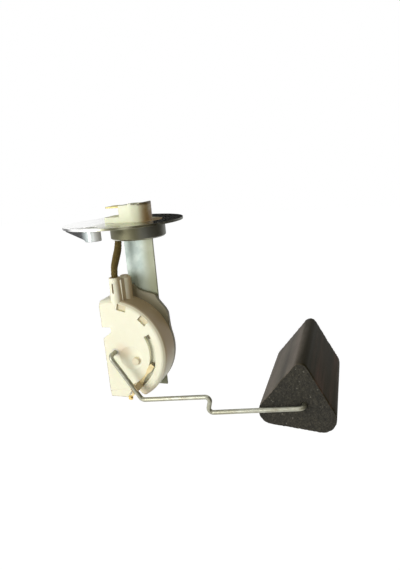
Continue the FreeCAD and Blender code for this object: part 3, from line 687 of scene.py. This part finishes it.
work = bmesh.new()
first_run = (arm_route[1] - arm_route[0]).normalized()
facing = first_run.to_track_quat("Z", "Y").to_matrix().to_4x4()
bmesh.ops.create_circle(work, cap_ends=False, segments=wire_sides, radius=wire_radius,
                        matrix=Matrix.Translation(arm_route[0]) @ facing)
start_loop = list(work.edges)
loop = start_loop
last = arm_route[0]
for index, radius in enumerate(arm_bends, start=1):
    corner = arm_route[index]
    back = (arm_route[index - 1] - corner).normalized()
    ahead = (arm_route[index + 1] - corner).normalized()
    half = back.angle(ahead) / 2
    bend_start = corner + back * radius / math.tan(half)
    bend_end = corner + ahead * radius / math.tan(half)
    centre = corner + (back + ahead).normalized() * radius / math.sin(half)
    axis = ahead.cross(back).normalized()
    turn = Matrix.Rotation((math.pi - 2 * half) / bend_segments, 3, axis)
    loop = next_loop(work, loop, shifted(bend_start - last))
    for step in range(bend_segments):
        loop = next_loop(work, loop, swung(centre, turn))
    last = bend_end
loop = next_loop(work, loop, shifted(arm_route[-1] - last))
for end_loop in (start_loop, loop):
    bmesh.ops.contextual_create(work, geom=end_loop)
ends = [edge for edge in work.edges if any(len(face.verts) == wire_sides for face in edge.link_faces)]
bmesh.ops.bevel(work, geom=ends, offset=wire_end_round, offset_type="OFFSET", segments=2, profile=0.5,
                affect="EDGES", material=-1)
bmesh.ops.recalc_face_normals(work, faces=list(work.faces))
for face in work.faces:
    face.smooth = len(face.verts) < wire_sides
arm_mesh = bpy.data.meshes.new("bent_arm_wire")
work.to_mesh(arm_mesh)
work.free()
arm_wire = bpy.data.objects.new("bent_arm_wire", arm_mesh)
scene.collection.objects.link(arm_wire)


def drawn_wire():
    """Drawn wire with a thin dull film: pale where handled, brown in the stains."""
    material, tree, shader = new_material("drawn wire", 0.82, 0.34)
    stain = noise_value(tree, object_point(tree), 260.0, 5.0, 0.65)
    slow = noise_value(tree, object_point(tree), 60.0, 3.0, 0.6)
    fine = noise_value(tree, object_point(tree), 2200.0, 2.0)
    tone = ramp(tree, stain, [(0.24, (0.25, 0.22, 0.15)), (0.54, (0.45, 0.455, 0.375))])
    film = ramp(tree, slow, [(0.38, (0.82, 0.79, 0.66)), (0.62, (1.0, 1.0, 1.0))])
    tree.links.new(mix_colour(tree, 0.7, tone, film, "MULTIPLY"), shader.inputs["Base Color"])
    tree.links.new(bump(tree, fine, 0.000015, 0.6), shader.inputs["Normal"])
    tree.links.new(mapped(tree, stain, To_Min=0.26, To_Max=0.48), shader.inputs["Roughness"])
    return material


arm_finish = drawn_wire()
arm_mesh.materials.append(arm_finish)
dress("float_arm", arm_finish)
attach(arm_wire, "arm")
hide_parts("float_arm")
ring_steel = plated_steel("ring steel", (0.30, 0.30, 0.29), (0.18, 0.18, 0.17), 0.35, 10.0)
dress("arm_retainer", ring_steel)
dress("float_clip", ring_steel)


# Wiper carrier and contact block: a small moulding on the wire, and the olive block that
# reaches the card through the slot.
carrier_plastic = moulded_plastic("carrier plastic", (0.66, 0.52, 0.30), (0.55, 0.42, 0.22),
                                  (0.34, 0.24, 0.12))
dress("wiper_carrier", carrier_plastic)
dress("wiper_contact", fired_ceramic("contact graphite", (0.27, 0.23, 0.13), (0.17, 0.14, 0.08), 0.5))


# Float: block of closed-cell foam, cut from a moulded bar. The bar's skin is smooth and
# streaked along its length; both ends are rough saw cuts with open cells and a ragged rim.
float_slack = 0.00015
float_front = -0.0203 + float_slack
float_length = 0.0693 - 2 * float_slack
float_corners = [(0.0964, -0.0667, 0.0040), (0.1196, -0.1080, 0.0077), (0.0678, -0.1032, 0.0070)]
corner_segments = 12
wire_hole = Vector((0.0977, 0.0, -0.0920))
wire_hole_radius = 0.0014
skin_steps = 34
cut_steps = 26
rim_spacing = 0.0009
on_cut_within = 0.0001
rim_torn = 0.0006
torn_scale = 900.0
cut_rough = 0.00012
cut_scale = 260.0
pit_depth = 0.0006
pit_scale = 750.0
pit_shift = Vector((3.0, 7.0, 1.0))
pit_level = 0.25
hole_dent = 0.0009
hole_dent_reach = 0.0032
skin_wave = 0.00012
skin_scale = Vector((70.0, 22.0, 70.0))


def hole_centre(point):
    """Place on the wire hole's axis beside a point."""
    return Vector((wire_hole.x, point.y, wire_hole.z))


def towards_hole(share):
    """Move that draws a point of the rim towards the edge of the wire's hole."""
    def move(point):
        centre = hole_centre(point)
        spoke = point - centre
        return centre + spoke * (1.0 - share) + spoke.normalized() * wire_hole_radius * share
    return move


work = bmesh.new()
for x, z, radius in float_corners:
    work.verts.new((x, float_front, z))
work.faces.new(work.verts)
for x, z, radius in float_corners:
    corner = min(work.verts, key=lambda point: (point.co - Vector((x, float_front, z))).length)
    sides = [(edge.other_vert(corner).co - corner.co) for edge in corner.link_edges]
    half = sides[0].angle(sides[1]) / 2
    tip = corner.co.copy()
    centre = tip + (sides[0].normalized() + sides[1].normalized()).normalized() * radius / math.sin(half)
    rounded = bmesh.ops.bevel(work, geom=[corner], offset=radius / math.tan(half), offset_type="OFFSET",
                              segments=corner_segments, profile=0.5, affect="VERTICES", material=-1)
    for point in rounded["verts"]:
        point.co = centre + (point.co - centre).normalized() * radius
for edge in list(work.edges):
    pieces = round(edge.calc_length() / rim_spacing)
    if pieces > 1:
        bmesh.ops.subdivide_edges(work, edges=[edge], cuts=pieces - 1)
bmesh.ops.delete(work, geom=list(work.faces), context="FACES_KEEP_BOUNDARY")
for point in work.verts:
    point.co -= (point.co - hole_centre(point.co)).normalized() * float_slack
front_rim = list(work.edges)
back_rim = front_rim
for step in range(skin_steps):
    back_rim = next_loop(work, back_rim, shifted(Vector((0.0, float_length / skin_steps, 0.0))))
rim_points = {point for edge in front_rim + back_rim for point in edge.verts}
hole_loops = []
for loop in (front_rim, back_rim):
    done = 0.0
    for step in range(cut_steps):
        share = (step + 1) / cut_steps
        loop = next_loop(work, loop, towards_hole((share - done) / (1.0 - done)))
        done = share
    hole_loops += loop
bmesh.ops.bridge_loops(work, edges=hole_loops)
bmesh.ops.recalc_face_normals(work, faces=list(work.faces))
work.normal_update()
for face in work.faces:
    face.smooth = True
    face.material_index = 1 if abs(face.normal.y) > 0.7 else 0
float_back = float_front + float_length
for point in work.verts:
    place = point.co.copy()
    spoke = place - hole_centre(place)
    on_cut = min(abs(place.y - float_front), abs(place.y - float_back)) < on_cut_within
    ragged = 0.5 + 0.5 * noise.noise(place * torn_scale)
    if point in rim_points:
        point.co -= spoke.normalized() * rim_torn * ragged ** 2
    elif on_cut:
        inward = 1.0 if place.y < 0.0 else -1.0
        coarse = noise.noise(place * cut_scale)
        pit = max(0.0, noise.noise(place * pit_scale + pit_shift) - pit_level)
        near_hole = max(0.0, 1.0 - spoke.length / hole_dent_reach)
        sunk = cut_rough * ragged + cut_rough * (1.0 + coarse) + pit_depth * pit + hole_dent * near_hole
        point.co.y += inward * sunk
    elif spoke.length > 2 * wire_hole_radius:
        slow = noise.noise(place * skin_scale)
        point.co += point.normal * skin_wave * slow
float_mesh = bpy.data.meshes.new("foam_float")
work.to_mesh(float_mesh)
work.free()
foam_float = bpy.data.objects.new("foam_float", float_mesh)
scene.collection.objects.link(foam_float)


# Painted shade on the float's right-facing faces, fading out towards the bottom.
painted_shade_facing_x = (-0.35, 0.45)
painted_shade_z = (-0.1150, -0.0920)


def foam_skin():
    """Moulded skin: olive brown streaks along the bar and fine cells, darker at the right with painted
    shade.
    """
    material, tree, shader = new_material("foam skin", 0.0, 0.42)
    streaks = noise_value(tree, object_point(tree, (1.0, 0.05, 1.0)), 95.0, 4.0, 0.6)
    clouds = noise_value(tree, object_point(tree, (1.0, 0.35, 1.0)), 55.0, 4.0, 0.6)
    cells = noise_value(tree, object_point(tree), 1500.0, 3.0, 0.6)
    tone = ramp(tree, streaks, [(0.38, (0.070, 0.060, 0.044)), (0.50, (0.140, 0.122, 0.096)),
                                (0.62, (0.230, 0.190, 0.160))])
    cloudy = ramp(tree, clouds, [(0.40, (0.070, 0.064, 0.046)), (0.60, (0.190, 0.168, 0.136))])
    tone = mix_colour(tree, 0.45, tone, cloudy)
    # Painted shade on right-facing faces, fading out towards the bottom.
    foam_painted_shade = product(tree, band(tree, surface_facing(tree)["X"], *painted_shade_facing_x),
                    band(tree, object_place(tree)["Z"], *painted_shade_z))
    painted_shade_tones = ramp(tree, streaks, [(0.40, (0.034, 0.030, 0.014)), (0.50, (0.058, 0.046, 0.025)),
                                    (0.62, (0.130, 0.080, 0.058))])
    tone = mix_colour(tree, product(tree, foam_painted_shade, 0.9), tone, painted_shade_tones)
    specks = ramp(tree, cells, [(0.30, (0.55, 0.55, 0.55)), (0.50, (1.0, 1.0, 1.0))])
    tone = mix_colour(tree, 0.5, tone, specks, "MULTIPLY")
    rim = use_group(tree, edges, Radius=0.0005)
    tone = mix_colour(tree, product(tree, rim.outputs["Mask"], 0.15), tone, (0.17, 0.15, 0.12))
    tree.links.new(tone, shader.inputs["Base Color"])
    tree.links.new(mapped(tree, streaks, To_Min=0.34, To_Max=0.58), shader.inputs["Roughness"])
    shader.inputs["Specular IOR Level"].default_value = 0.015
    shader.inputs["Specular Tint"].default_value = (1.0, 0.90, 0.62, 1.0)
    relief = bump(tree, streaks, 0.00010, 0.7)
    tree.links.new(bump(tree, cells, 0.00006, 0.6, relief), shader.inputs["Normal"])
    return material


def cut_foam():
    """Sawn foam: near-black open cells between paler walls, with a few bright torn flecks."""
    material, tree, shader = new_material("cut foam", 0.0, 0.85)
    point = object_point(tree)
    cells = add(tree, "ShaderNodeTexVoronoi", Scale=1150.0)
    flecks = add(tree, "ShaderNodeTexVoronoi", Scale=330.0)
    for texture in (cells, flecks):
        tree.links.new(point, texture.inputs["Vector"])
    grain = noise_value(tree, point, 820.0, 5.0, 0.72)
    slow = noise_value(tree, point, 90.0, 4.0, 0.6)
    tone = ramp(tree, grain, [(0.32, (0.010, 0.009, 0.005)), (0.52, (0.030, 0.027, 0.018)),
                              (0.70, (0.070, 0.063, 0.045))])
    pores = ramp(tree, cells.outputs["Distance"], [(0.10, (0.25, 0.25, 0.25)), (0.38, (1.0, 1.0, 1.0))])
    tone = mix_colour(tree, 0.75, tone, pores, "MULTIPLY")
    shades = ramp(tree, slow, [(0.35, (0.75, 0.75, 0.75)), (0.65, (1.2, 1.18, 1.1))])
    tone = mix_colour(tree, 0.5, tone, shades, "MULTIPLY")
    torn = mapped(tree, flecks.outputs["Distance"], From_Min=0.15, From_Max=0.09)
    tree.links.new(mix_colour(tree, torn, tone, (0.125, 0.115, 0.092)), shader.inputs["Base Color"])
    relief = bump(tree, cells.outputs["Distance"], 0.0004, 0.8)
    tree.links.new(bump(tree, grain, 0.0004, 0.8, relief), shader.inputs["Normal"])
    return material


skin_material = foam_skin()
float_mesh.materials.append(skin_material)
float_mesh.materials.append(cut_foam())
dress("float_block", skin_material)
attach(foam_float, "float")
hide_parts("float_block")


# Studio: pale floor below the hung part and a pale sky, both seen as white, with dark cards
# for the reflections and two soft lamps.
def seen_directly(tree):
    """1 for rays from the camera or from a mirror, otherwise 0."""
    path = tree.nodes.new("ShaderNodeLightPath")
    return calc(tree, "MAXIMUM", path.outputs["Is Camera Ray"], path.outputs["Is Glossy Ray"])


def white_room():
    """Pale surface that the camera and mirrors see as white, with the part's soft shadow kept."""
    material, tree, shader = new_material("pale floor", 0.0, 0.9)
    shader.inputs["Base Color"].default_value = (0.9, 0.9, 0.9, 1.0)
    glow = add(tree, "ShaderNodeEmission", Strength=1.2)
    mixer = tree.nodes.new("ShaderNodeMixShader")
    tree.links.new(product(tree, seen_directly(tree), 0.8), mixer.inputs["Fac"])
    tree.links.new(shader.outputs["BSDF"], mixer.inputs[1])
    tree.links.new(glow.outputs["Emission"], mixer.inputs[2])
    tree.links.new(mixer.outputs["Shader"], tree.nodes["Material Output"].inputs["Surface"])
    return material


def staged_sheet(name, matrix, material):
    """Flat square of studio scenery, one metre wide before its matrix."""
    mesh = bpy.data.meshes.new(name)
    sheet = bmesh.new()
    bmesh.ops.create_grid(sheet, x_segments=1, y_segments=1, size=0.5, matrix=matrix)
    sheet.to_mesh(mesh)
    sheet.free()
    mesh.materials.append(material)
    body = bpy.data.objects.new(name, mesh)
    scene.collection.objects.link(body)
    return body


def dark_card(name, place, facing, width, height, tone):
    """Dark studio card, seen only in reflections and by soft light, never by the camera."""
    material, tree, shader = new_material(name + " paper", 0.0, 0.9)
    shader.inputs["Base Color"].default_value = (*tone, 1.0)
    shader.inputs["Specular IOR Level"].default_value = 0.0
    turn = Vector(facing).to_track_quat("Z", "Y").to_matrix().to_4x4()
    matrix = Matrix.Translation(place) @ turn @ Matrix.Diagonal((width, height, 1.0, 1.0))
    card = staged_sheet(name, matrix, material)
    card.visible_camera = False
    card.visible_shadow = False


def lamp(name, place, size, power):
    """Soft square lamp aimed at the middle of the part."""
    light = bpy.data.lights.new(name, "AREA")
    light.size = size
    light.energy = power
    body = bpy.data.objects.new(name, light)
    scene.collection.objects.link(body)
    aim = Vector(part_middle) - Vector(place)
    body.matrix_world = Matrix.Translation(place) @ aim.to_track_quat("-Z", "Y").to_matrix().to_4x4()


floor_drop = 0.30
floor_size = 6.0
floor_place = Matrix.Translation((0.0, 0.0, -floor_drop))
staged_sheet("floor", floor_place @ Matrix.Diagonal((floor_size, floor_size, 1.0, 1.0)), white_room())

world = bpy.data.worlds.new("studio")
scene.world = world
world.use_nodes = True
sky = world.node_tree
sky_path = sky.nodes.new("ShaderNodeLightPath")
seen = calc(sky, "MAXIMUM", seen_directly(sky), sky_path.outputs["Is Transmission Ray"])
background = sky.nodes["Background"]
background.inputs["Color"].default_value = (1.0, 1.0, 1.0, 1.0)
sky.links.new(mapped(sky, seen, To_Min=0.20, To_Max=1.0), background.inputs["Strength"])

dark_card("card_right", (0.36, 0.0, -0.05), (-1.0, 0.0, 0.0), 1.0, 1.3, (0.16, 0.14, 0.10))
dark_card("card_behind_camera", (0.0, -1.45, 0.0), (0.0, 1.0, 0.0), 3.2, 2.2, (0.30, 0.28, 0.20))
dark_card("card_back", (-0.205, 0.556, 0.15), (0.36, -0.9, -0.25), 0.20, 0.45, (0.01, 0.01, 0.01))

part_middle = (0.03, 0.0, -0.06)
lamp("window", (-0.70, -1.10, 0.15), 0.9, 14.2)
lamp("wall_bounce", (0.80, -0.90, 0.20), 1.1, 3.6)


# Camera: at the photograph's viewing angle, in front and to the right, a little above the
# flange.
eye = Vector((0.11845, -0.22628, 0.02477))
turn_left = math.radians(18.78)
tilt_down = math.radians(14.18)
roll = math.radians(-4.72)
focal_pixels = 452.0
photo_height = 570
sensor = 36.0
camera_data = bpy.data.cameras.new("camera")
camera_data.sensor_width = sensor
camera_data.lens = focal_pixels * sensor / photo_height
camera_data.clip_start = 0.01
camera = bpy.data.objects.new("camera", camera_data)
scene.collection.objects.link(camera)
camera.matrix_world = (Matrix.Translation(eye) @ Matrix.Rotation(turn_left, 4, "Z")
                       @ Matrix.Rotation(math.pi / 2 - tilt_down, 4, "X") @ Matrix.Rotation(roll, 4, "Z"))
scene.camera = camera
scene.view_settings.view_transform = "Standard"
